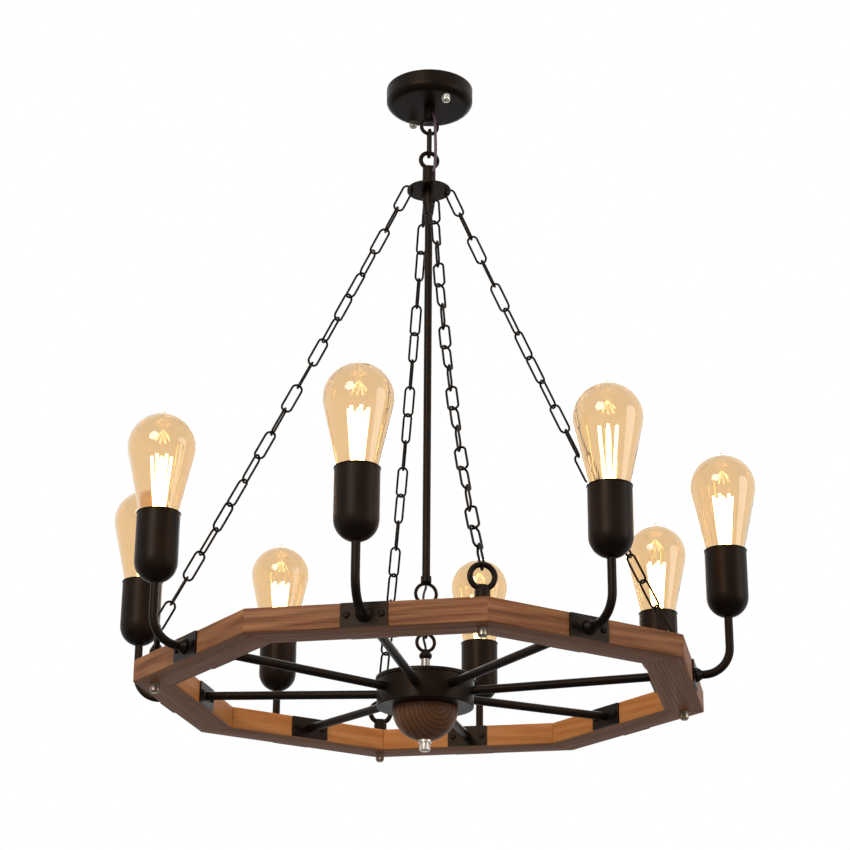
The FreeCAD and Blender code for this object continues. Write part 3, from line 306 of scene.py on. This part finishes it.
def stained_pine():
    """Knotless pine board, planed, stained brown and waxed: growth rings run along each beam, the
    late wood takes the stain as thin dark lines, and pores and fibres break them up."""
    material, tree, shader = new_material("stained_pine")
    place = add(tree, "ShaderNodeTexCoord").outputs["Object"]
    board = add(tree, "ShaderNodeObjectInfo").outputs["Object Index"]
    shift = add(tree, "ShaderNodeVectorMath", {0: (0.317, 0.0083, 0.0061), 3: 1.0}, operation="SCALE")
    tree.links.new(board, shift.inputs["Scale"])
    moved = add(tree, "ShaderNodeVectorMath", {0: place, 1: shift.outputs[0]}, operation="ADD").outputs[0]
    # The heart of the tree ran just outside the board and almost along it, so the rings show as
    # long streaks. A slow wobble keeps them from being straight.
    slow = add(tree, "ShaderNodeMapping", {"Vector": moved, "Scale": (per(210), per(30), per(30))})
    wobble = add(tree, "ShaderNodeTexNoise", {"Vector": slow.outputs[0], "Scale": 1.0, "Detail": 2.0})
    bend = add(tree, "ShaderNodeVectorMath",
               {0: wobble.outputs["Color"], 1: (0.5, 0.5, 0.5)}, operation="SUBTRACT")
    bent = add(tree, "ShaderNodeVectorMath", {0: bend.outputs[0], "Scale": 8 * MM}, operation="SCALE")
    log = add(tree, "ShaderNodeMapping",
              {"Vector": moved, "Location": (0, 0.021, 0.034), "Rotation": (0, 0.02, 0.035)})
    inlog = add(tree, "ShaderNodeVectorMath", {0: log.outputs[0], 1: bent.outputs[0]}, operation="ADD")
    rings = add(tree, "ShaderNodeTexWave",
                {"Vector": inlog.outputs[0], "Scale": per(PINE_RING) * RING_TURN, "Distortion": 0.0},
                wave_type="RINGS", rings_direction="X", wave_profile="SAW")
    along = add(tree, "ShaderNodeMapping", {"Vector": moved, "Scale": (per(60), per(FIBRE), per(FIBRE))})
    fibres = add(tree, "ShaderNodeTexNoise", {"Vector": along.outputs[0], "Scale": 1.0, "Detail": 4.0,
                                              "Roughness": 0.65})
    patches = add(tree, "ShaderNodeMapping", {"Vector": moved, "Scale": (per(120), per(7), per(7))})
    uneven = add(tree, "ShaderNodeTexNoise", {"Vector": patches.outputs[0], "Scale": 1.0, "Detail": 3.0})
    late = add(tree, "ShaderNodeValToRGB", {"Fac": rings.outputs["Fac"]},
               stops=[(0.0, "#85502e"), (0.3, "#a06a42"), (0.6, "#8a5633"), (0.88, "#6a3c21"),
                      (1.0, "#744527")])
    stain = add(tree, "ShaderNodeValToRGB", {"Fac": uneven.outputs["Fac"]},
                stops=[(0.3, "#704226"), (0.5, "#8f5936"), (0.72, "#b98359")])
    base = add(tree, "ShaderNodeMix", {0: 0.45, 6: late.outputs[0], 7: stain.outputs[0]}, data_type="RGBA")
    pores = add(tree, "ShaderNodeValToRGB", {"Fac": fibres.outputs["Fac"]},
                stops=[(0.32, "#6b6b6b"), (0.52, "#ffffff")])
    colour = add(tree, "ShaderNodeMix", {0: 0.5, 6: base.outputs[2], 7: pores.outputs[0]},
                 data_type="RGBA", blend_type="MULTIPLY")
    # Painted light: the face towards the hub is screened towards orange, standing for the warm glow that
    # the bulbs throw on it.
    across = add(tree, "ShaderNodeSeparateXYZ", {0: place}).outputs[1]
    inner = add(tree, "ShaderNodeMapRange", {0: across, 1: -BEAM_WIDTH / 2 + 1.6 * MM,
                                             2: -BEAM_WIDTH / 2 + 0.6 * MM, 3: 0.0, 4: 1.0})
    # Painted bulb light, mixed into the hub-facing face's colour.
    thin = add(tree, "ShaderNodeMix", {6: colour.outputs[2], 7: linear("#e0893a")}, data_type="RGBA",
               blend_type="SCREEN")
    tree.links.new(inner.outputs[0], thin.inputs[0])
    fade = add(tree, "ShaderNodeMix", {0: 0.4, 6: colour.outputs[2], 7: thin.outputs[2]}, data_type="RGBA")
    tree.links.new(fade.outputs[2], shader.inputs["Base Color"])
    rough = add(tree, "ShaderNodeMapRange", {0: fibres.outputs["Fac"], 3: 0.62, 4: 0.48})
    tree.links.new(rough.outputs[0], shader.inputs["Roughness"])
    relief = add(tree, "ShaderNodeMath", {0: rings.outputs["Fac"], 1: fibres.outputs["Fac"]},
                 operation="ADD")
    bump = add(tree, "ShaderNodeBump",
               {"Height": relief.outputs[0], "Distance": 0.12 * MM, "Strength": 0.35})
    tree.links.new(bump.outputs[0], shader.inputs["Normal"])
    shader.inputs["IOR"].default_value = 1.48
    shader.inputs["Specular IOR Level"].default_value = 0.14
    return material


def turned_walnut():
    """Walnut-stained wood turned on a lathe and waxed: the grain lies across the bowl, so its
    rings show as nested ovals under the rim, to the right of the front."""
    material, tree, shader = new_material("turned_walnut")
    place = add(tree, "ShaderNodeTexCoord").outputs["Object"]
    slow = add(tree, "ShaderNodeTexNoise", {"Vector": place, "Scale": per(30), "Detail": 2.0})
    bend = add(tree, "ShaderNodeVectorMath", {0: slow.outputs["Color"], "Scale": 5 * MM}, operation="SCALE")
    log = add(tree, "ShaderNodeMapping",
              {"Vector": place, "Location": (0, -0.0155, 0.6765), "Rotation": (0, 0, 1.758)})
    inlog = add(tree, "ShaderNodeVectorMath", {0: log.outputs[0], 1: bend.outputs[0]}, operation="ADD")
    rings = add(tree, "ShaderNodeTexWave",
                {"Vector": inlog.outputs[0], "Scale": per(WALNUT_RING) * RING_TURN, "Distortion": 2.2,
                 "Detail": 1.0, "Detail Scale": 0.35},
                wave_type="RINGS", rings_direction="X", wave_profile="SAW")
    along = add(tree, "ShaderNodeMapping",
                {"Vector": log.outputs[0], "Scale": (per(14), per(0.8), per(0.8))})
    fibres = add(tree, "ShaderNodeTexNoise", {"Vector": along.outputs[0], "Scale": 1.0, "Detail": 4.0})
    late = add(tree, "ShaderNodeValToRGB", {"Fac": rings.outputs["Fac"]},
               stops=[(0.0, "#6a4229"), (0.5, "#613c26"), (0.8, "#7d5839"), (1.0, "#583621")])
    pores = add(tree, "ShaderNodeValToRGB", {"Fac": fibres.outputs["Fac"]},
                stops=[(0.35, "#757575"), (0.55, "#ffffff")])
    colour = add(tree, "ShaderNodeMix", {0: 0.6, 6: late.outputs[0], 7: pores.outputs[0]},
                 data_type="RGBA", blend_type="MULTIPLY")
    tree.links.new(colour.outputs[2], shader.inputs["Base Color"])
    bump = add(tree, "ShaderNodeBump", {"Height": rings.outputs["Fac"], "Distance": 0.08 * MM})
    tree.links.new(bump.outputs[0], shader.inputs["Normal"])
    shader.inputs["Roughness"].default_value = 0.46
    shader.inputs["IOR"].default_value = 1.48
    shader.inputs["Specular IOR Level"].default_value = 0.16
    return material


def beam_mesh(outer_flat, height):
    """One mitred beam: X along it, Y outward from the ring's middle line, Z up."""
    slope = math.tan(math.pi / SIDES)
    inner_flat = outer_flat - BEAM_WIDTH
    middle = (outer_flat + inner_flat) / 2
    stations = 24
    verts, faces = [], []
    # The section is a rectangle with rounded corners, swept between the two mitres.
    section = []
    for cy, cz, start in ((1, 1, 0), (-1, 1, 90), (-1, -1, 180), (1, -1, 270)):
        for k in range(5):
            a = math.radians(start + 90 * k / 4)
            section.append((cy * (BEAM_WIDTH / 2 - BEAM_EDGE) + BEAM_EDGE * math.cos(a),
                            cz * (height / 2 - BEAM_EDGE) + BEAM_EDGE * math.sin(a)))
    ends = [(-1 + 2 * k / stations, 0.0) for k in range(stations + 1)]
    ends = [(-1, MITRE_EDGE)] + ends + [(1, MITRE_EDGE)]
    for share, drawn_in in ends:
        for y, z in section:
            half = (middle + y) * slope
            x = share * (half - (MITRE_EDGE if not drawn_in else 0.0))
            shrink = 1 - drawn_in / (BEAM_WIDTH / 2)
            tall = 1 - drawn_in / (height / 2)
            verts.append((x, y * shrink, z * tall))
    count = len(section)
    for k in range(len(ends) - 1):
        for j in range(count):
            a, b = k * count + j, k * count + (j + 1) % count
            faces.append((a, a + count, b + count, b))
    faces.append(list(range(count)))
    faces.append(list(range(len(verts) - count, len(verts)))[::-1])
    mesh = bpy.data.meshes.new("beam")
    mesh.from_pydata(verts, [], faces)
    return finish_shape(mesh, 30), middle


def make_ring(material):
    low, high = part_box("ring_segments")
    outer_flat = high.x * math.cos(math.pi / SIDES)
    mesh, middle = beam_mesh(outer_flat, high.z - low.z)
    for k in range(SIDES):
        angle = math.radians(-112.5 + 45 * k)
        place = (Matrix.Rotation(angle - math.pi / 2, 4, "Z")
                 @ Matrix.Translation((0, middle, (low.z + high.z) / 2)))
        beam = piece("ring_beam_%d" % (k + 1), mesh if k == 0 else mesh.copy(), material, "fixture",
                     place)
        beam.pass_index = k + 1
        if k == 0:
            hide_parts("ring_segments")


def make_bowl(material):
    """The bowl as it comes off the lathe: rounded rim, a short upright lip, then an ellipse."""
    low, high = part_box("wood_bowl")
    radius = high.x
    lip, edge = 2.0 * MM, 1.0 * MM
    foot, bore = 6.9 * MM, 4.5 * MM
    deep = high.z - low.z - lip
    sweep = math.acos(foot / radius)
    outline = [(bore, high.z), (radius - edge, high.z)]
    outline += arc((radius - edge, high.z - edge), edge, 90, 0, 6)[1:]
    for k in range(1, 41):
        a = sweep * k / 40
        outline.append((radius * math.cos(a), high.z - lip - deep * math.sin(a) / math.sin(sweep)))
    outline.append((bore, low.z))
    bowl = piece("turned_bowl", lathe("turned_bowl", outline, 96), material, "fixture")
    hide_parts("wood_bowl")


make_ring(stained_pine())
make_bowl(turned_walnut())

# ------------------------------------------------------------------ metal and plastic


def black_powder_coat():
    """Steel with a black powder coat, baked on: satin, a hair of orange peel, faintly brown."""
    material, tree, shader = new_material("black_powder_coat")
    place = add(tree, "ShaderNodeTexCoord").outputs["Object"]
    cloud = add(tree, "ShaderNodeTexNoise", {"Vector": place, "Scale": per(24), "Detail": 3.0})
    peel = add(tree, "ShaderNodeTexNoise", {"Vector": place, "Scale": per(1.1), "Detail": 2.0})
    colour = add(tree, "ShaderNodeValToRGB", {"Fac": cloud.outputs["Fac"]},
                 stops=[(0.35, "#0f0b09"), (0.65, "#18110d")])
    tree.links.new(colour.outputs["Color"], shader.inputs["Base Color"])
    rough = add(tree, "ShaderNodeMapRange", {0: cloud.outputs["Fac"], 3: 0.34, 4: 0.46})
    tree.links.new(rough.outputs[0], shader.inputs["Roughness"])
    bump = add(tree, "ShaderNodeBump",
               {"Height": peel.outputs["Fac"], "Distance": 0.03 * MM, "Strength": 0.5})
    tree.links.new(bump.outputs[0], shader.inputs["Normal"])
    shader.inputs["Specular IOR Level"].default_value = 0.1
    shader.inputs["Specular Tint"].default_value = linear("#ffd9b8")
    return material


def plain_finish(name, dark, light, roughness, metallic=0.0, cell=2.0, height=0.02):
    """A plain made surface: two close shades in a fine mottle, with a slight relief."""
    material, tree, shader = new_material(name)
    place = add(tree, "ShaderNodeTexCoord").outputs["Object"]
    mottle = add(tree, "ShaderNodeTexNoise", {"Vector": place, "Scale": per(cell), "Detail": 3.0})
    colour = add(tree, "ShaderNodeValToRGB", {"Fac": mottle.outputs["Fac"]},
                 stops=[(0.35, dark), (0.65, light)])
    tree.links.new(colour.outputs["Color"], shader.inputs["Base Color"])
    bump = add(tree, "ShaderNodeBump", {"Height": mottle.outputs["Fac"], "Distance": height * MM,
                                        "Strength": 0.5})
    tree.links.new(bump.outputs[0], shader.inputs["Normal"])
    shader.inputs["Roughness"].default_value = roughness
    shader.inputs["Metallic"].default_value = metallic
    return material


FINISHES = {
    "black": black_powder_coat(),
    "nickel": plain_finish("satin_nickel", "#b9b2a6", "#d3ccc0", 0.28, 1.0, 0.6),
    "zinc": plain_finish("zinc_plated_steel", "#9d9c98", "#b9b7b2", 0.4, 1.0, 3.0),
    "cap": plain_finish("nickelled_brass_cap", "#b8ad98", "#d2c7b2", 0.3, 1.0, 1.5),
    "phenolic": plain_finish("black_phenolic", "#121110", "#1d1b19", 0.5, 0.0, 1.2),
    "nylon": plain_finish("orange_nylon", "#b9621f", "#cf7428", 0.45, 0.0, 1.5),
    # A darker, warmer copy of the nickel, for the eye nuts.
    "darker_warm_nickel": plain_finish("darker_warm_nickel", "#7d7060", "#a09280", 0.3, 1.0, 0.8),
    "steel": plain_finish("bare_threaded_steel", "#6d675f", "#8c857b", 0.36, 1.0, 0.6),
    "lead": plain_finish("black_lead_insulation", "#120c0b", "#20150f", 0.42, 0.0, 2.0),
    "wire": wire_material,
}
# The nodes that aren't black, and their finishes.
NODE_FINISH = {
    "ceiling_bracket": "zinc", "canopy_studs": "zinc", "loop_nut": "zinc", "canopy_nuts": "nickel",
    "eye_nuts": "darker_warm_nickel", "lampholders": "phenolic", "wire_connectors": "nylon", "inner_leads": "lead",
    "finial_nut": "nickel", "hub_nipple": "steel",
}


def dress_nodes():
    """Gives every carried CAD node its finish; what isn't named above is black."""
    for name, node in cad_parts.items():
        finish = NODE_FINISH.get(name, "cap" if name.startswith("bulb_contact") else "black")
        node.data.materials.clear()
        node.data.materials.append(FINISHES[finish])


dress_nodes()

# ------------------------------------------------------------------ bulbs

GLASS_WALL = 0.8 * MM
NECK_RADIUS = 11.5 * MM
NECK_HEIGHT = 6.5 * MM
THROAT_RADIUS = 16.2 * MM
THROAT_RISE = 14 * MM
TIP_HEIGHT = 4.0 * MM
# Heights above the top of the cap, and how far the glass reaches down into it.
GLASS_IN_CAP = 6 * MM
FILAMENT_FOOT = 22 * MM
FILAMENT_HEAD = 71.5 * MM
FILAMENTS = 6


def amber_glass():
    """Soda-lime bulb glass with an amber wash inside: clear, darker towards its edges. It lets the
    filaments' light out as the thin wall does, instead of holding it back as solid glass would."""
    material, tree, shader = new_material("amber_bulb_glass")
    shader.inputs["Base Color"].default_value = linear("#f3dcba")
    shader.inputs["Roughness"].default_value = 0.02
    shader.inputs["IOR"].default_value = 1.5
    shader.inputs["Transmission Weight"].default_value = 1.0
    rays = add(tree, "ShaderNodeLightPath")
    clear = add(tree, "ShaderNodeBsdfTransparent", {"Color": linear("#f7e4c6")})
    blend = add(tree, "ShaderNodeMixShader",
                {0: rays.outputs["Is Shadow Ray"], 1: shader.outputs[0], 2: clear.outputs[0]})
    tree.links.new(blend.outputs[0], tree.nodes["Material Output"].inputs["Surface"])
    return material


def lit_filament():
    """Phosphor-coated filament, switched on: warm white, far brighter than what it lights."""
    material, tree, shader = new_material("lit_filament")
    shader.inputs["Base Color"].default_value = linear("#ffd9a0")
    shader.inputs["Emission Color"].default_value = linear("#ffe0ab")
    shader.inputs["Emission Strength"].default_value = 14.0
    return material


def stem_glass_painted_glow():
    """Clear lead glass of the stem, with a painted glow: an emission that stands for the filaments' light
    on it.
    """
    material, tree, shader = new_material("lit_stem_glass")
    shader.inputs["Base Color"].default_value = linear("#fff0d0")
    shader.inputs["Roughness"].default_value = 0.1
    # Painted glow: the stem is no lamp, and this emission stands for the filaments' light on it.
    shader.inputs["Emission Color"].default_value = linear("#ffe2b0")
    shader.inputs["Emission Strength"].default_value = 2.5
    return material


def glass_outline(low, high, radius, inset):
    """One face of the bulb's wall: neck, throat, straight flank and round dome up to the pole."""
    neck_r, throat_r = NECK_RADIUS - inset, THROAT_RADIUS - inset
    dome = radius - inset
    centre = high - TIP_HEIGHT - radius
    throat_z = low + THROAT_RISE
    to_centre = math.hypot(throat_r, centre - throat_z)
    lean = math.asin(dome / to_centre) - math.atan2(throat_r, centre - throat_z)
    points = [(neck_r, low), (neck_r, low + NECK_HEIGHT)]
    for k in range(1, 9):
        t = k / 8
        soft = t * t * (3 - 2 * t)
        points.append((neck_r + (throat_r - neck_r) * soft,
                       low + NECK_HEIGHT + (THROAT_RISE - NECK_HEIGHT) * t))
    return points + arc((0, centre), dome, -math.degrees(lean), 90, 44)


def glass_mesh(low, high, radius):
    """The whole wall, with the sealed tip on its pole."""
    outer = glass_outline(low, high, radius, 0.0)
    inner = glass_outline(low, high, radius, GLASS_WALL)
    pole = outer[-1][1]
    tip = [(2.6 * MM, pole - 0.1 * MM), (1.7 * MM, pole + 1.0 * MM), (1.5 * MM, pole + 2.6 * MM),
           (0.9 * MM, pole + 3.6 * MM), (0.0, high)]
    outer = [p for p in outer if p[0] > 3.2 * MM or p[1] < pole - 10 * MM] + tip
    return lathe("bulb_glass", outer + inner[::-1], 96)


def bulb_parts():
    """Meshes of one bulb about its own axis, at the height of the CAD bulbs."""
    low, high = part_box("bulb_glass_1")
    radius = (high.x - low.x) / 2
    base_low, base_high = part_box("bulb_base_1")
    glass = glass_mesh(low.z, high.z, radius)
    cap_top = low.z + GLASS_IN_CAP
    cap = cap_mesh(base_low.z, cap_top)
    stem = lathe("bulb_stem", stem_outline(cap_top), 40)
    rods = filament_mesh(cap_top)
    return glass, cap, stem, rods


def cap_mesh(bottom, top):
    """The screw cap with a real helical thread, its shoulder and the cone at its foot."""
    pitch, depth, crest = 3.629 * MM, 0.7 * MM, 13.0 * MM
    root = crest - depth
    start, end = bottom + 4.4 * MM, top - 3.2 * MM
    steps, rows = 60, 64
    verts, faces = [], []
    for j in range(rows + 1):
        z = start + (end - start) * j / rows
        fade = min(1.0, (z - start) / (1.2 * MM), (end - z) / (1.2 * MM))
        for k in range(steps):
            a = 2 * math.pi * k / steps
            wave = 0.5 + 0.5 * math.cos(2 * math.pi * (z - start) / pitch - a)
            r = root + depth * wave ** 0.8 * max(0.0, fade)
            verts.append((r * math.cos(a), r * math.sin(a), z))
    for j in range(rows):
        for k in range(steps):
            a, b = j * steps + k, j * steps + (k + 1) % steps
            faces.append((a, b, b + steps, a + steps))
    body = bpy.data.meshes.new("thread")
    body.from_pydata(verts, [], faces)
    shoulder = lathe("shoulder", [(root, end), (root, top), (root - 0.4 * MM, top), (root - 0.4 * MM, end)],
                     steps)
    cone = lathe("cone", [(5.4 * MM, bottom), (4.8 * MM, bottom + 1.6 * MM), (root, start),
                          (root - 0.5 * MM, start), (4.4 * MM, bottom + 2.2 * MM), (0.0, bottom + 2.2 * MM),
                          (0.0, bottom)], steps)
    return joined("bulb_cap", [body, shoulder, cone])


def stem_outline(cap_top):
    """The stem: a flare in the neck that draws in to a thin rod with a rounded end."""
    foot = cap_top - GLASS_IN_CAP
    outline = [(0.0, foot), (10.7 * MM, foot), (10.4 * MM, foot + 1 * MM)]
    for k in range(1, 9):
        t = k / 8
        outline.append((2.2 * MM + 8.2 * MM * (1 - t) ** 2.2, foot + 1 * MM + 13 * MM * t))
    top = cap_top + 70 * MM
    return outline + [(2.2 * MM, top), (1.4 * MM, top + 2 * MM), (0.0, top + 2.2 * MM)]


def filament_mesh(cap_top):
    """The rods that glow, spreading upwards from the stem."""
    rods = []
    for k in range(FILAMENTS):
        a = 2 * math.pi * k / FILAMENTS
        foot = Vector((4.6 * MM * math.cos(a), 4.6 * MM * math.sin(a), cap_top + FILAMENT_FOOT))
        head = Vector((9.0 * MM * math.cos(a), 9.0 * MM * math.sin(a), cap_top + FILAMENT_HEAD))
        rods.append(tube("rod", [foot.lerp(head, s / 6) for s in range(7)], 1.3 * MM, 12))
    return joined("bulb_filaments", rods)


def make_bulbs():
    glass_material, rod_material, stem_material = amber_glass(), lit_filament(), stem_glass_painted_glow()
    glass, cap, stem, rods = bulb_parts()
    for k in BULBS:
        low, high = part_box("bulb_glass_%d" % k)
        middle = (low + high) / 2
        place = Matrix.Translation((middle.x, middle.y, 0))
        turned = place @ Matrix.Rotation(math.radians(37 * k), 4, "Z")
        body = "bulb_%d" % k
        envelope = piece("bulb_%d_glass" % k, glass, glass_material, body, place)
        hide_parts("bulb_glass_%d" % k)
        screw = piece("bulb_%d_cap" % k, cap, FINISHES["cap"], body, turned)
        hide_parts("bulb_base_%d" % k)
        piece("bulb_%d_stem" % k, stem, stem_material, body, turned)
        piece("bulb_%d_filaments" % k, rods, rod_material, body, turned)


make_bulbs()

# ------------------------------------------------------------------ floor and light

FLOOR = -4.2


def make_floor():
    mesh = bpy.data.meshes.new("floor")
    mesh.from_pydata([(-9, -9, FLOOR), (9, -9, FLOOR), (9, 9, FLOOR), (-9, 9, FLOOR)], [], [(0, 1, 2, 3)])
    material, tree, shader = new_material("pale_floor")
    shader.inputs["Base Color"].default_value = linear("#bcbbb9")
    shader.inputs["Roughness"].default_value = 0.9
    rays = add(tree, "ShaderNodeLightPath")
    lift = add(tree, "ShaderNodeMath", {0: rays.outputs["Is Camera Ray"], 1: 0.8}, operation="MULTIPLY")
    shader.inputs["Emission Color"].default_value = linear("#ffffff")
    tree.links.new(lift.outputs[0], shader.inputs["Emission Strength"])
    mesh.materials.append(material)
    floor = bpy.data.objects.new("floor", mesh)
    bpy.context.scene.collection.objects.link(floor)


def make_world():
    """White to the camera and in reflections, softer as a source of light."""
    world = bpy.data.worlds.new("studio")
    bpy.context.scene.world = world
    world.use_nodes = True
    tree = world.node_tree
    tree.nodes.clear()
    rays = add(tree, "ShaderNodeLightPath")
    seen = add(tree, "ShaderNodeMath", {0: rays.outputs["Is Camera Ray"], 1: rays.outputs["Is Glossy Ray"]},
               operation="MAXIMUM")
    shown = add(tree, "ShaderNodeMath", {0: seen.outputs[0], 1: rays.outputs["Is Transmission Ray"]},
                operation="MAXIMUM")
    strength = add(tree, "ShaderNodeMapRange", {0: shown.outputs[0], 3: 0.34, 4: 1.0})
    sky = add(tree, "ShaderNodeBackground", {"Color": linear("#ffffff"), "Strength": strength.outputs[0]})
    out = add(tree, "ShaderNodeOutputWorld")
    tree.links.new(sky.outputs[0], out.inputs["Surface"])


def make_lamp(name, place, aim, size, watts, colour="#ffffff"):
    data = bpy.data.lights.new(name, "AREA")
    data.shape = "DISK"
    data.size = size
    data.energy = watts
    data.color = linear(colour)[:3]
    lamp = bpy.data.objects.new(name, data)
    bpy.context.scene.collection.objects.link(lamp)
    lamp.location = place
    lamp.visible_camera = False
    lamp.visible_transmission = False
    lamp.rotation_euler = (Vector(aim) - Vector(place)).to_track_quat("-Z", "Y").to_euler()


make_floor()
make_world()
AIM = (0, 0, -0.45)
make_lamp("key", (-1.7, -2.3, 0.5), AIM, 1.4, 55)
make_lamp("fill", (2.5, -1.5, -0.1), AIM, 1.8, 26)
make_lamp("back", (0.6, 2.4, 0.5), AIM, 1.6, 30)
bpy.context.scene.view_settings.view_transform = "Standard"
